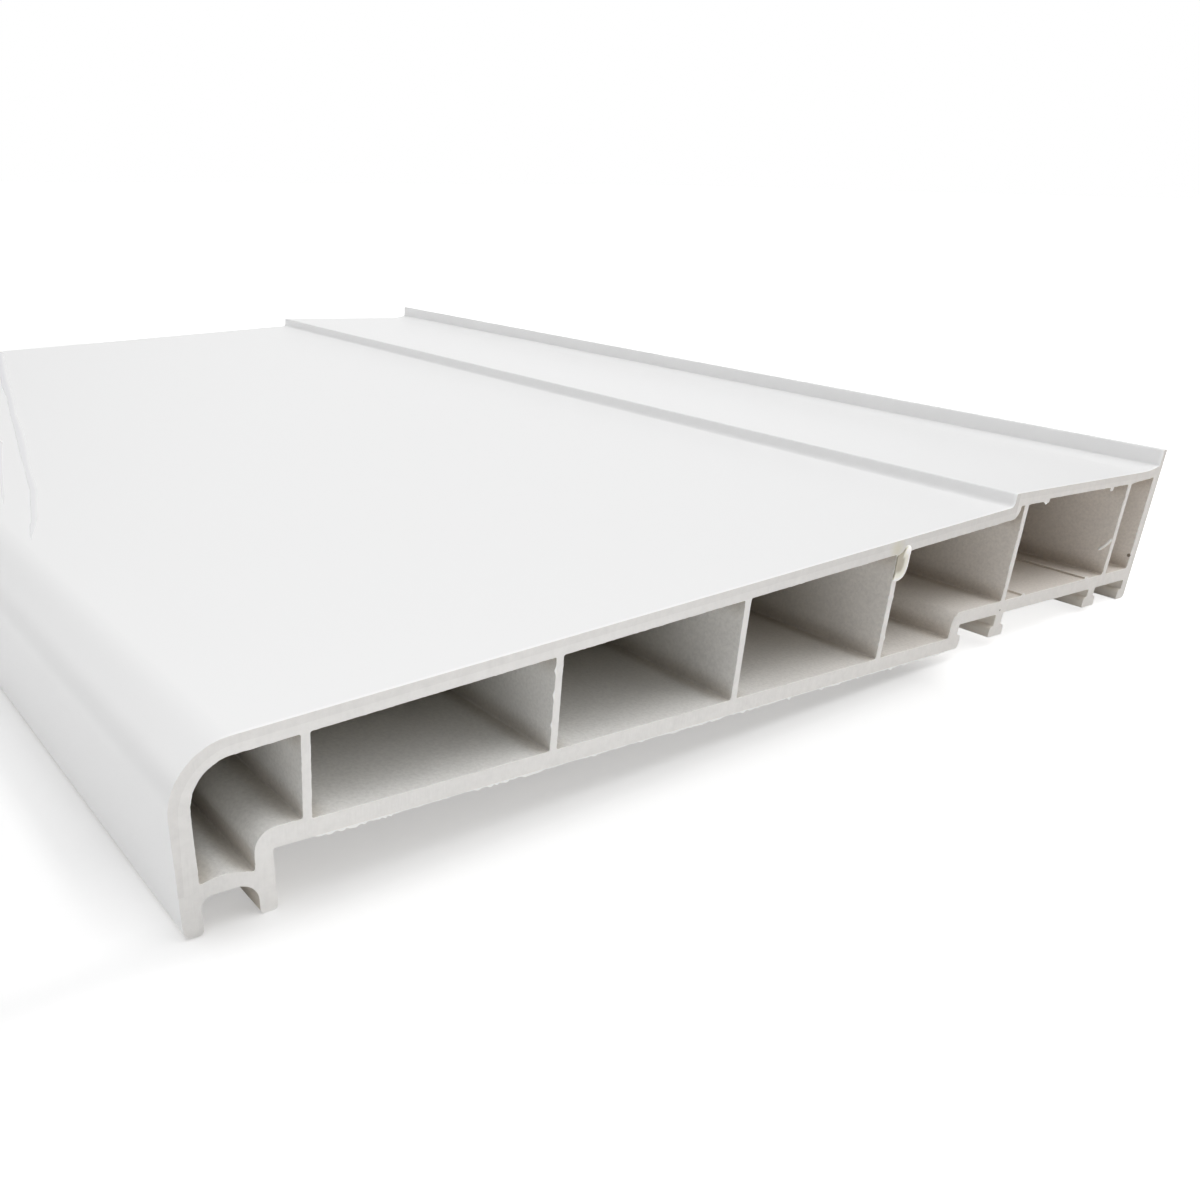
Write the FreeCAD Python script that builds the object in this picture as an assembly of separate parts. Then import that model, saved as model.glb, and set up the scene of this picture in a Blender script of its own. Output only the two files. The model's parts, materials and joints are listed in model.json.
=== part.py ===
import FreeCAD, Part
import math
import os

# Window sill board: one extruded bar of white rigid PVC, hollow inside, sawn square at both ends.
# Sizes are millimetres. The section is drawn with its underside level: y runs back from the nose
# face, z runs up from the underside and the bar runs along x. Last, the bar is laid on the floor.

# Stock
LENGTH = 316.0
DEPTH = 225.0

# Top of the board
PLATFORM_HEIGHT = 30.0
PLATFORM_DEPTH = 56.5
RISER_HEIGHT = 2.6
TOP_FALL = 3.75
UPSTAND_HEIGHT = 4.3
UPSTAND_WIDTH = 1.2
UPSTAND_ROOT_WIDTH = 3.2
UPSTAND_ROOT_HEIGHT = 0.8

# Nose, and the two drip lips under it with a groove between them
NOSE_RADIUS = 8.8
NOSE_LEAN = 2.5
DRIP_DEPTH = 9.45
DRIP_WIDTH = 13.0
SECOND_LIP_RISE = 0.25
FRONT_LIP_WIDTH = 2.65
SECOND_LIP_WIDTH = 2.4
GROOVE_HEIGHT = 5.35
GROOVE_RADIUS = 3.0
GROOVE_ROOF = 2.3
GROOVE_CROWN = 0.9
CROWN_RADIUS = 8.0
LEDGE_RADIUS = 2.8
NOSE_WEB_FLOOR = 3.0

# Walls
FRONT_WALL = 2.75
TOP_SKIN = 2.5
FLOOR_SKIN = 2.65
PLATFORM_SKIN = 2.1
DRIP_WALL = 2.45
STEP_WALL = 2.75
REAR_WALL = 2.3
REAR_CEILING_RISE = 0.6
WEB = 1.2

# Places of the webs' middles: one behind the nose face, one behind the riser, one in front of the rear
# face, and three at shares of the way from the first of these to the second
NOSE_WEB = 17.9
RISER_TO_STEP_WEB = 4.5
REAR_WEB_TO_BACK = 12.35
BOARD_WEB_SHARES = (0.257, 0.503, 0.75)

# Step in the underside, in front of the riser, with a locating bead on the end of the main floor
STEP_TO_RISER = 9.45
STEP_HEIGHT = 5.15
STEP_RADIUS = 2.4
BEAD_REACH = 1.2
BEAD_HEIGHT = 2.9

# Clip feet under the platform: a stem that ends in a bulb, whose tip stays above the underside
FOOT_STEM = 2.6
FOOT_BULB = 4.9
FOOT_BULB_HEIGHT = 2.3
MIDDLE_FOOT_TO_BACK = 16.05
STEP_FOOT_TIP = 0.3
MIDDLE_FOOT_TIP = 0.95
REAR_FOOT_TIP = 0.6

# Guide ribs along the floor and ceiling of the platform chamber, as far from the webs at both ends
RIB_TO_WEB = 7.4
RIB_WIDTH = 1.0
CEILING_RIB_HEIGHT = 0.8
FLOOR_RIB_HEIGHT = 0.45
SEAT_THICKENING = 0.45
SEAT_RAMP = 1.5

# Roundings
INSIDE_RADIUS = 0.35
EDGE_RADIUS = 0.3
LIP_RADIUS = 1.4
LIP_BACK_RADIUS = 0.6
GROOVE_FRONT_RADIUS = 1.6
SECOND_LIP_RADIUS = 0.7
BULB_RADIUS = 1.0
BULB_TIP_RADIUS = 0.4
RIB_RADIUS = 0.15
RISER_FILLET = 2.2
RISER_ROOT_RADIUS = 1.0
UPSTAND_ROOT_RADIUS = 24.0

NOSE_SLOPE = math.tan(math.radians(NOSE_LEAN))
TOP_SLOPE = math.tan(math.radians(TOP_FALL))
RISER_PLACE = DEPTH - PLATFORM_DEPTH
RISER_FOOT = PLATFORM_HEIGHT - RISER_HEIGHT
NOSE_TANGENT = RISER_FOOT - RISER_PLACE * TOP_SLOPE - NOSE_RADIUS
STEP_PLACE = RISER_PLACE - STEP_TO_RISER
STEP_WEB = RISER_PLACE + RISER_TO_STEP_WEB
REAR_WEB = DEPTH - REAR_WEB_TO_BACK
BOARD_WEBS = [NOSE_WEB + (STEP_WEB - NOSE_WEB) * share for share in BOARD_WEB_SHARES]
MIDDLE_FOOT = DEPTH - MIDDLE_FOOT_TO_BACK
STEP_FLOOR = STEP_HEIGHT + FLOOR_SKIN
PLATFORM_CEILING = PLATFORM_HEIGHT - PLATFORM_SKIN


def top_at(y):
    """Height of the falling top surface at a place y."""
    return RISER_FOOT - (RISER_PLACE - y) * TOP_SLOPE


def ceiling_at(y):
    """Height of the chambers' ceiling under the falling top at a place y."""
    return top_at(y) - TOP_SKIN


def leaning(y, z):
    """Place at height z of a line that leans back with the nose and passes y where the nose rounds."""
    return y + (NOSE_TANGENT - z) * NOSE_SLOPE


def rounded_wire(corners):
    """Closed wire in the y-z plane through (y, z, radius) corners: straight sides joined by tangent arcs.
    Where two roundings want more than the side between them, both shrink to share it."""
    count = len(corners)
    places = [FreeCAD.Vector(0, y, z) for y, z, _ in corners]
    sides = [places[(i + 1) % count] - places[i] for i in range(count)]
    half_angles = [(-sides[i - 1]).getAngle(sides[i]) / 2 for i in range(count)]
    wanted = [corners[i][2] / math.tan(half_angles[i]) for i in range(count)]
    claims = [wanted[i] + wanted[(i + 1) % count] for i in range(count)]
    shares = [sides[i].Length / max(sides[i].Length, claims[i]) for i in range(count)]
    directions = [side / side.Length for side in sides]
    reaches = [wanted[i] * min(shares[i - 1], shares[i]) for i in range(count)]
    starts = [places[i] - directions[i - 1] * reaches[i] for i in range(count)]
    ends = [places[i] + directions[i] * reaches[i] for i in range(count)]
    edges = []
    for i in range(count):
        radius = reaches[i] * math.tan(half_angles[i])
        towards_centre = (directions[i] - directions[i - 1]).normalize()
        middle = places[i] + towards_centre * (radius / math.sin(half_angles[i]) - radius)
        edges.append(Part.Arc(starts[i], middle, ends[i]).toShape())
        next_start = starts[(i + 1) % count]
        if not ends[i].isEqual(next_start, Part.Precision.confusion()):
            edges.append(Part.LineSegment(ends[i], next_start).toShape())
    return Part.Wire(edges)


def nose_underside():
    """Front lip, drip groove and second lip, from the nose back to the flat underside."""
    tip = -DRIP_DEPTH
    second_tip = tip + SECOND_LIP_RISE
    groove_top = tip + GROOVE_HEIGHT
    second_lip_back = DRIP_WIDTH - leaning(0, 0)
    return [
        (leaning(0, tip), tip, LIP_RADIUS),
        (leaning(FRONT_LIP_WIDTH, tip), tip, LIP_BACK_RADIUS),
        (leaning(FRONT_LIP_WIDTH, groove_top), groove_top, GROOVE_FRONT_RADIUS),
        (leaning(second_lip_back - SECOND_LIP_WIDTH, groove_top), groove_top, GROOVE_RADIUS),
        (leaning(second_lip_back - SECOND_LIP_WIDTH, second_tip), second_tip, SECOND_LIP_RADIUS),
        (leaning(second_lip_back, second_tip), second_tip, SECOND_LIP_RADIUS),
        (DRIP_WIDTH, 0, EDGE_RADIUS),
    ]


def floor_step():
    """Bead on the end of the main floor, then the step wall up to the platform's underside."""
    bead_end = STEP_PLACE + BEAD_REACH
    return [
        (bead_end, 0, BULB_RADIUS),
        (bead_end, BEAD_HEIGHT, BULB_RADIUS),
        (STEP_PLACE, BEAD_HEIGHT, EDGE_RADIUS),
        (STEP_PLACE, STEP_HEIGHT, EDGE_RADIUS),
    ]


def clip_foot(middle, tip):
    """Stem and bulb of one foot, from its front side round the tip to its back side."""
    shoulder = tip + FOOT_BULB_HEIGHT
    front_stem = middle - FOOT_STEM / 2
    back_stem = middle + FOOT_STEM / 2
    front_bulb = middle - FOOT_BULB / 2
    back_bulb = middle + FOOT_BULB / 2
    return [
        (front_stem, STEP_HEIGHT, EDGE_RADIUS),
        (front_stem, shoulder, EDGE_RADIUS),
        (front_bulb, shoulder, BULB_RADIUS),
        (front_bulb, tip, BULB_TIP_RADIUS),
        (back_bulb, tip, BULB_TIP_RADIUS),
        (back_bulb, shoulder, BULB_RADIUS),
        (back_stem, shoulder, EDGE_RADIUS),
        (back_stem, STEP_HEIGHT, EDGE_RADIUS),
    ]


def rear_foot():
    """The rear wall carried down to the last foot, with half a bulb to its front."""
    shoulder = REAR_FOOT_TIP + FOOT_BULB_HEIGHT
    stem = DEPTH - REAR_WALL
    bulb = stem - (FOOT_BULB - FOOT_STEM) / 2
    return [
        (stem, STEP_HEIGHT, EDGE_RADIUS),
        (stem, shoulder, EDGE_RADIUS),
        (bulb, shoulder, BULB_RADIUS),
        (bulb, REAR_FOOT_TIP, BULB_TIP_RADIUS),
        (DEPTH, REAR_FOOT_TIP, BULB_RADIUS),
    ]


def top_side():
    """Upstand with its sweeping root, platform, riser and falling top, from the rear face to the nose."""
    upstand_top = PLATFORM_HEIGHT + UPSTAND_HEIGHT
    upstand_front = DEPTH - UPSTAND_WIDTH
    nose_top = top_at(0)
    return [
        (DEPTH, upstand_top, EDGE_RADIUS),
        (upstand_front, upstand_top, EDGE_RADIUS),
        (upstand_front, PLATFORM_HEIGHT + UPSTAND_ROOT_HEIGHT, INSIDE_RADIUS),
        (upstand_front - UPSTAND_ROOT_WIDTH, PLATFORM_HEIGHT, UPSTAND_ROOT_RADIUS),
        (RISER_PLACE, PLATFORM_HEIGHT, EDGE_RADIUS),
        (RISER_PLACE, RISER_FOOT, RISER_ROOT_RADIUS),
        (leaning(0, nose_top), nose_top, NOSE_RADIUS),
    ]


def outline():
    """Outer edge of the section, from the front lip back along the underside and forward over the top."""
    return rounded_wire(
        nose_underside()
        + floor_step()
        + clip_foot(STEP_WEB, STEP_FOOT_TIP)
        + clip_foot(MIDDLE_FOOT, MIDDLE_FOOT_TIP)
        + rear_foot()
        + top_side()
    )


def nose_chamber():
    """Chamber behind the nose: it drops over the groove, whose roof is crowned, and steps up to the web."""
    web_face = NOSE_WEB - WEB / 2
    roof = GROOVE_HEIGHT - DRIP_DEPTH + GROOVE_ROOF
    drip_face = DRIP_WIDTH - DRIP_WALL
    front_at_roof = leaning(FRONT_WALL, roof)
    return rounded_wire([
        (front_at_roof, roof - GROOVE_CROWN / 2, INSIDE_RADIUS),
        ((front_at_roof + drip_face) / 2, roof + GROOVE_CROWN / 2, CROWN_RADIUS),
        (drip_face, roof - GROOVE_CROWN, EDGE_RADIUS),
        (drip_face, NOSE_WEB_FLOOR, LEDGE_RADIUS),
        (web_face, NOSE_WEB_FLOOR, EDGE_RADIUS),
        (web_face, ceiling_at(web_face), INSIDE_RADIUS),
        (leaning(FRONT_WALL, ceiling_at(FRONT_WALL)), ceiling_at(FRONT_WALL), NOSE_RADIUS - FRONT_WALL),
    ])


def board_chamber(front_web, back_web):
    """Plain chamber between two webs under the falling top."""
    front = front_web + WEB / 2
    back = back_web - WEB / 2
    return rounded_wire([
        (front, FLOOR_SKIN, INSIDE_RADIUS),
        (back, FLOOR_SKIN, INSIDE_RADIUS),
        (back, ceiling_at(back), INSIDE_RADIUS),
        (front, ceiling_at(front), INSIDE_RADIUS),
    ])


def step_chamber():
    """Chamber over the step in the underside, with a pocket behind the riser."""
    front = BOARD_WEBS[-1] + WEB / 2
    back = STEP_WEB - WEB / 2
    step_face = STEP_PLACE - STEP_WALL
    pocket_front = RISER_PLACE + TOP_SKIN
    pocket_top = PLATFORM_CEILING - SEAT_THICKENING
    return rounded_wire([
        (front, FLOOR_SKIN, INSIDE_RADIUS),
        (step_face, FLOOR_SKIN, INSIDE_RADIUS),
        (step_face, STEP_FLOOR, STEP_RADIUS),
        (back, STEP_FLOOR, INSIDE_RADIUS),
        (back, pocket_top, INSIDE_RADIUS),
        (pocket_front, pocket_top, INSIDE_RADIUS),
        (pocket_front, ceiling_at(pocket_front), RISER_FILLET),
        (front, ceiling_at(front), INSIDE_RADIUS),
    ])


def rib(middle, root, height):
    """Four corners of a low rib, from its front side to its back side; a negative height hangs it."""
    return [
        (middle - RIB_WIDTH / 2, root, RIB_RADIUS),
        (middle - RIB_WIDTH / 2, root + height, RIB_RADIUS),
        (middle + RIB_WIDTH / 2, root + height, RIB_RADIUS),
        (middle + RIB_WIDTH / 2, root, RIB_RADIUS),
    ]


def platform_chamber():
    """Wide chamber under the platform, with guide ribs; its ceiling is thicker in front of the first rib."""
    front = STEP_WEB + WEB / 2
    back = REAR_WEB - WEB / 2
    thick_ceiling = PLATFORM_CEILING - SEAT_THICKENING
    first_rib = STEP_WEB + RIB_TO_WEB
    last_rib = REAR_WEB - RIB_TO_WEB
    first_rib_front = first_rib - RIB_WIDTH / 2
    first_rib_back = first_rib + RIB_WIDTH / 2
    rib_tip = PLATFORM_CEILING - CEILING_RIB_HEIGHT
    hanging_rib = rib(last_rib, PLATFORM_CEILING, -CEILING_RIB_HEIGHT)
    return rounded_wire(
        [(front, STEP_FLOOR, INSIDE_RADIUS)]
        + rib(first_rib, STEP_FLOOR, FLOOR_RIB_HEIGHT)
        + rib(last_rib, STEP_FLOOR, FLOOR_RIB_HEIGHT)
        + [(back, STEP_FLOOR, INSIDE_RADIUS), (back, PLATFORM_CEILING, INSIDE_RADIUS)]
        + hanging_rib[::-1]
        + [
            (first_rib_back, PLATFORM_CEILING, EDGE_RADIUS),
            (first_rib_back, rib_tip, EDGE_RADIUS),
            (first_rib_front, rib_tip, EDGE_RADIUS),
            (first_rib_front - SEAT_RAMP, thick_ceiling, EDGE_RADIUS),
            (front, thick_ceiling, INSIDE_RADIUS),
        ]
    )


def rear_chamber():
    """Narrow upright chamber along the rear face; its ceiling rises with the upstand's root."""
    front = REAR_WEB + WEB / 2
    back = DEPTH - REAR_WALL
    return rounded_wire([
        (front, STEP_FLOOR, INSIDE_RADIUS),
        (back, STEP_FLOOR, INSIDE_RADIUS),
        (back, PLATFORM_CEILING + REAR_CEILING_RISE, INSIDE_RADIUS),
        (front, PLATFORM_CEILING, INSIDE_RADIUS),
    ])


def section():
    """Face of the section: the outline with its seven chambers cut out."""
    webs = [NOSE_WEB] + BOARD_WEBS
    chambers = [nose_chamber()]
    chambers += [board_chamber(front, back) for front, back in zip(webs, webs[1:])]
    chambers += [step_chamber(), platform_chamber(), rear_chamber()]
    return Part.Face(outline()).cut([Part.Face(chamber) for chamber in chambers])


def resting_lean(wire, balance, deflection=0.01):
    """Degrees from the underside to the floor: the slope of the line that carries the section from below,
    touching it once in front of its balance and once behind."""
    points = wire.discretize(Deflection=deflection)
    ahead = [p for p in points if p.y < balance]
    behind = [p for p in points if p.y >= balance]
    slope = max(min((b.z - a.z) / (b.y - a.y) for b in behind) for a in ahead)
    return math.degrees(math.atan(slope))


def laid_on_floor(bar, lean):
    """The bar turned to stand on its lips and rear foot, its box's bottom centre at the origin."""
    laid = bar.copy()
    laid.rotate(FreeCAD.Vector(0, 0, 0), FreeCAD.Vector(1, 0, 0), -lean)
    box = laid.optimalBoundingBox(False, False)
    laid.translate(FreeCAD.Vector(-box.Center.x, -box.Center.y, -box.ZMin))
    return laid


board_section = section()
bar = board_section.extrude(FreeCAD.Vector(LENGTH, 0, 0)).Solids[0]
lean = resting_lean(outline(), bar.CenterOfMass.y)
sill_board = laid_on_floor(bar, lean)

os.makedirs("parts", exist_ok=True)
sill_board.exportStep("parts/sill_board.step")
box = sill_board.BoundBox
print(f"sill_board valid {sill_board.isValid()}, volume {sill_board.Volume / 1000:.1f} cm3")
print(f"box {box.XLength:.2f} x {box.YLength:.2f} x {box.ZLength:.2f} mm, lean {lean:.3f} degrees")
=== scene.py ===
import json
import math

import bpy
import numpy as np
from mathutils import Matrix, Vector


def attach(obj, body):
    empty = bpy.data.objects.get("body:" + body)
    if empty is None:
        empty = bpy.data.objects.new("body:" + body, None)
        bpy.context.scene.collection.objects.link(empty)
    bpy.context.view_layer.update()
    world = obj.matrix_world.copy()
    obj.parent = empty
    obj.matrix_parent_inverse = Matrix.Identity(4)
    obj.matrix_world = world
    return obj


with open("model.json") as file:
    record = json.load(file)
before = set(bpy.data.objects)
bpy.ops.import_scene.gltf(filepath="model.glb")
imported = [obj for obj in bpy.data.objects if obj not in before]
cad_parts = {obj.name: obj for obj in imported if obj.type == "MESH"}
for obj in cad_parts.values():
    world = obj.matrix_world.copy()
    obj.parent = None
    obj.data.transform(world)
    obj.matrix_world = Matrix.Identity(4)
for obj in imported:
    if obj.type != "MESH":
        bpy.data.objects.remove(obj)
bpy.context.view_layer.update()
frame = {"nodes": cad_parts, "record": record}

# The board: one extruded bar of white rigid PVC, hollow inside and sawn square at both ends. It lies on
# its second drip lip and its rear foot, so its underside and platform fall a little towards the rear.
MM = 0.001
board = frame["nodes"]["sill_board"]
mounts = {mount["name"]: mount for mount in frame["record"]["mounts"]}
end_x = mounts["end_right"]["pos_m"][0]
upward = np.array(mounts["frame_seat"]["axis"])
backward = np.array([0.0, upward[2], -upward[1]])
lean = math.atan2(upward[1], upward[2])
board_points = np.array([vertex.co for vertex in board.data.vertices])
nose_level = (board_points @ backward).min()
underside_level = np.array(mounts["wall_bed"]["pos_m"]) @ upward


def on_board(x, y, z):
    """Places in metres for x metres along the bar, y millimetres back from the nose face and z
    millimetres up from the underside: x along X plus y and z along the tilted section's two axes."""
    x, y, z = (values[..., None] for values in np.broadcast_arrays(x, y, z))
    along = x * np.array([1.0, 0.0, 0.0])
    return along + (nose_level + y * MM) * backward + (underside_level + z * MM) * upward


def linear(hex_colour):
    """Linear RGBA of an sRGB hex colour: the sRGB curve taken off each of its three channels."""
    parts = [int(hex_colour[i:i + 2], 16) / 255 for i in (1, 3, 5)]
    return [c / 12.92 if c <= 0.04045 else ((c + 0.055) / 1.055) ** 2.4 for c in parts] + [1.0]


def add(tree, kind, settings=None, **links):
    """Adds a node of this kind; settings are its own properties, and links give each input, by its name or
    number, a value or another node's output. Names use _ for a space, and a number follows the letter i."""
    node = tree.nodes.new(kind)
    for name, value in (settings or {}).items():
        setattr(node, name, value)
    for name, value in links.items():
        socket = node.inputs[int(name[1:])] if name[1:].isdigit() else node.inputs[name.replace("_", " ")]
        if isinstance(value, bpy.types.NodeSocket):
            tree.links.new(value, socket)
        else:
            socket.default_value = value
    return node


# Settings that many nodes share: a fade with soft ends, a mix of two colours and a product of two colours
SMOOTH = {"interpolation_type": "SMOOTHSTEP"}
BLEND = {"data_type": "RGBA"}
TIMES = {"data_type": "RGBA", "blend_type": "MULTIPLY"}


def new_material(name):
    """An empty node material of this name and its node tree."""
    material = bpy.data.materials.new(name)
    material.use_nodes = True
    material.node_tree.nodes.clear()
    return material, material.node_tree


# Rigid PVC as an extruder leaves it. The top and nose wear a white skin that ran over a polished die, so
# it has a soft gloss. Under it is warmer body compound, matt and saw-rough at the sawn ends. The chambers'
# walls never met the polished die, so they are duller, and painted shade makes them greyer and browner away
# from the ends.
SKIN_WHITE = "#F3F3F3"
UNDERSIDE_WHITE = "#F5EFE6"
SKIN_ROUGHNESS = 0.3
SAWN_ROUGHNESS = 0.75
CHAMBER_ROUGHNESS = 0.55
PVC_IOR = 1.54
# The skin has a painted highlight along the sawn ends. Along the nose it has a faint darker streak, given
# by its middle's height over the underside and the half widths at which it starts and stops fading
EDGE_HIGHLIGHT = "#FFFFFF"
EDGE_WIDTH = 0.8
STREAK_SHADE = 0.92
STREAK_HEIGHT = 11.4
STREAK_FADE = (0.2, 2.6)
# The sawn faces: their colour from the front to the rear, lighter at the front as painted light, the
# skin's tint, and how much darker the drip lips (painted shade), the top skin near the riser and the
# platform's skin are
SAWN_FRONT = "#FBF9F6"
SAWN_REAR = "#F0ECE7"
SAWN_SKIN_WHITE = "#F2F1F1"
SKIN_TINT = 0.4
LIP_SHADE = 0.84
LIP_SHADE_FADE = (-9.45, 14.0)
TOP_DARKENING = 0.9
TOP_DARKENING_FADE = (55.0, 145.0)
PLATFORM_DARKENING = 0.97
STAIN_COLOUR = "#E0DBC8"
STAIN_PLACE = (133.2, 23.6)
STAIN_RADIUS = 2.8
STAIN_STRENGTH = 0.8
# The chambers: their colour at the mouth and deeper in, where it is painted shade, from the front to the
# rear, and painted shade in the corners, where walls nearer than CORNER_REACH metres leave less than these
# shares of the air open
MOUTH_FRONT = "#F9F8F5"
MOUTH_REAR = "#F8F1E9"
DEEP_SHADE_FRONT = "#BFBBB2"
DEEP_SHADE_REAR = "#C2B6A8"
CHAMBER_DEPTH = 40.0
CORNER_SHADE = "#E0DCD7"
CORNER_REACH = 0.004
CORNER_FADE = (0.7, 0.95)
# Patterns: cells per millimetre, the shades that the middle of their noise gives, how they are stretched
# along, back and up, and the two reliefs' heights in metres. Real blade marks are finer than a pixel, so
# they are drawn as coarse as they need to be to show
NOISE_MIDDLE = (0.3, 0.7)
DUST_CELLS = 1.8
DUST_SHADES = (0.92, 1.06)
GRAIN_CELLS = 0.7
GRAIN_SHADES = (0.95, 1.02)
DIE_LINE_CELLS = 0.9
DIE_LINE_STRETCH = (0.004, 1.0, 1.0)
BLADE_MARK_CELLS = 1.5
BLADE_MARK_STRETCH = (0.0, 1.6, 0.15)
DIE_LINE_HEIGHT = 0.000004
BLADE_MARK_HEIGHT = 0.00003
# The section's outer surfaces in millimetres. What lies deeper than HALF_WALL under them is a chamber, and
# what is nearer than CUT_FACE to an end is sawn
NOSE_RADIUS = 8.8
TOP_AT_NOSE = 16.36
TOP_SLOPE = math.tan(math.radians(3.75))
TOP_SKIN = 2.5
RISER_PLACE = 168.5
PLATFORM_HEIGHT = 30
SECTION_DEPTH = 225.0
DRIP_BACK = 12
GROOVE_ROOF = -4.4
STEP_PLACE = 158
STEP_HEIGHT = 5.15
HALF_WALL = 1.2
CUT_FACE = 0.02
# The nose gives way to the top between these places, and the colours turn towards the rear's from here on
NOSE_END = (4.0, 11.5)
REARWARDS_FROM = 58.0

white_pvc, tree = new_material("extruded_rigid_pvc")
place = add(tree, "ShaderNodeTexCoord").outputs["Object"]
section = add(
    tree, "ShaderNodeMapping", Vector=place, Rotation=(lean, 0, 0), Scale=(1 / MM, 1 / MM, 1 / MM),
    Location=(0, -nose_level / MM, -underside_level / MM),
).outputs[0]
position = add(tree, "ShaderNodeSeparateXYZ", i0=section)
along, back, height = (position.outputs[axis] for axis in "XYZ")
off_centre = add(tree, "ShaderNodeMath", {"operation": "ABSOLUTE"}, i0=along).outputs[0]
from_end = add(tree, "ShaderNodeMath", {"operation": "SUBTRACT"}, i0=end_x / MM, i1=off_centre).outputs[0]
is_sawn = add(tree, "ShaderNodeMath", {"operation": "LESS_THAN"}, i0=from_end, i1=CUT_FACE).outputs[0]

# Which finish a place has: the chambers lie inside the outer surfaces, the underside behind the nose's lip
falling_top = add(
    tree, "ShaderNodeMath", {"operation": "MULTIPLY_ADD"}, i0=back, i1=TOP_SLOPE, i2=TOP_AT_NOSE,
).outputs[0]
behind_riser = add(
    tree, "ShaderNodeMath", {"operation": "GREATER_THAN"}, i0=back, i1=RISER_PLACE + HALF_WALL,
).outputs[0]
top = add(tree, "ShaderNodeMix", i0=behind_riser, i2=falling_top, i3=PLATFORM_HEIGHT).outputs[0]
ahead = add(tree, "ShaderNodeMath", {"operation": "SUBTRACT"}, i0=NOSE_RADIUS, i1=back).outputs[0]
ahead = add(tree, "ShaderNodeMath", {"operation": "MAXIMUM"}, i0=ahead, i1=0.0).outputs[0]
above = add(tree, "ShaderNodeMath", {"operation": "SUBTRACT"}, i0=height, i1=top).outputs[0]
above = add(tree, "ShaderNodeMath", {"operation": "ADD"}, i0=above, i1=NOSE_RADIUS).outputs[0]
above = add(tree, "ShaderNodeMath", {"operation": "MAXIMUM"}, i0=above, i1=0.0).outputs[0]
reach = add(tree, "ShaderNodeCombineXYZ", X=ahead, Y=above).outputs[0]
reach = add(tree, "ShaderNodeVectorMath", {"operation": "LENGTH"}, i0=reach).outputs["Value"]
under_top = add(
    tree, "ShaderNodeMath", {"operation": "LESS_THAN"}, i0=reach, i1=NOSE_RADIUS - HALF_WALL,
).outputs[0]
behind_drip = add(tree, "ShaderNodeMath", {"operation": "GREATER_THAN"}, i0=back, i1=DRIP_BACK).outputs[0]
behind_step = add(tree, "ShaderNodeMath", {"operation": "GREATER_THAN"}, i0=back, i1=STEP_PLACE).outputs[0]
bottom = add(
    tree, "ShaderNodeMath", {"operation": "MULTIPLY_ADD"},
    i0=behind_drip, i1=-GROOVE_ROOF, i2=GROOVE_ROOF + HALF_WALL,
).outputs[0]
bottom = add(
    tree, "ShaderNodeMath", {"operation": "MULTIPLY_ADD"}, i0=behind_step, i1=STEP_HEIGHT, i2=bottom,
).outputs[0]
over_bottom = add(tree, "ShaderNodeMath", {"operation": "GREATER_THAN"}, i0=height, i1=bottom).outputs[0]
before_back = add(
    tree, "ShaderNodeMath", {"operation": "LESS_THAN"}, i0=back, i1=SECTION_DEPTH - HALF_WALL,
).outputs[0]
is_chamber = add(tree, "ShaderNodeMath", {"operation": "MULTIPLY"}, i0=under_top, i1=over_bottom).outputs[0]
is_chamber = add(
    tree, "ShaderNodeMath", {"operation": "MULTIPLY"}, i0=is_chamber, i1=before_back,
).outputs[0]
behind_lip = add(tree, "ShaderNodeMath", {"operation": "GREATER_THAN"}, i0=back, i1=HALF_WALL).outputs[0]
is_under = add(
    tree, "ShaderNodeMath", {"operation": "SUBTRACT", "use_clamp": True}, i0=behind_lip, i1=over_bottom,
).outputs[0]
is_under = add(tree, "ShaderNodeMath", {"operation": "MULTIPLY"}, i0=is_under, i1=before_back).outputs[0]

# Each finish's colour, from the nose to the rear and from the sawn end inwards
rearwards = add(
    tree, "ShaderNodeMapRange", SMOOTH, Value=back, i1=REARWARDS_FROM, i2=SECTION_DEPTH,
).outputs[0]
# Painted shade: the chambers' colour darkens from the mouth inwards over CHAMBER_DEPTH millimetres
inwards = add(tree, "ShaderNodeMapRange", SMOOTH, Value=from_end, i2=CHAMBER_DEPTH).outputs[0]
mouth_colour = add(
    tree, "ShaderNodeMix", BLEND, i0=rearwards, i6=linear(MOUTH_FRONT), i7=linear(MOUTH_REAR),
).outputs[2]
deep_shade_colour = add(
    tree, "ShaderNodeMix", BLEND, i0=rearwards, i6=linear(DEEP_SHADE_FRONT), i7=linear(DEEP_SHADE_REAR),
).outputs[2]
chamber_colour = add(tree, "ShaderNodeMix", BLEND, i0=inwards, i6=mouth_colour, i7=deep_shade_colour).outputs[2]
dust = add(
    tree, "ShaderNodeTexNoise", Vector=section, Scale=DUST_CELLS, Detail=3.0, Roughness=0.6,
).outputs[0]
dust = add(
    tree, "ShaderNodeMapRange",
    Value=dust, i1=NOISE_MIDDLE[0], i2=NOISE_MIDDLE[1], i3=DUST_SHADES[0], i4=DUST_SHADES[1],
).outputs[0]
chamber_colour = add(tree, "ShaderNodeMix", TIMES, i0=1.0, i6=chamber_colour, i7=dust).outputs[2]
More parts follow.
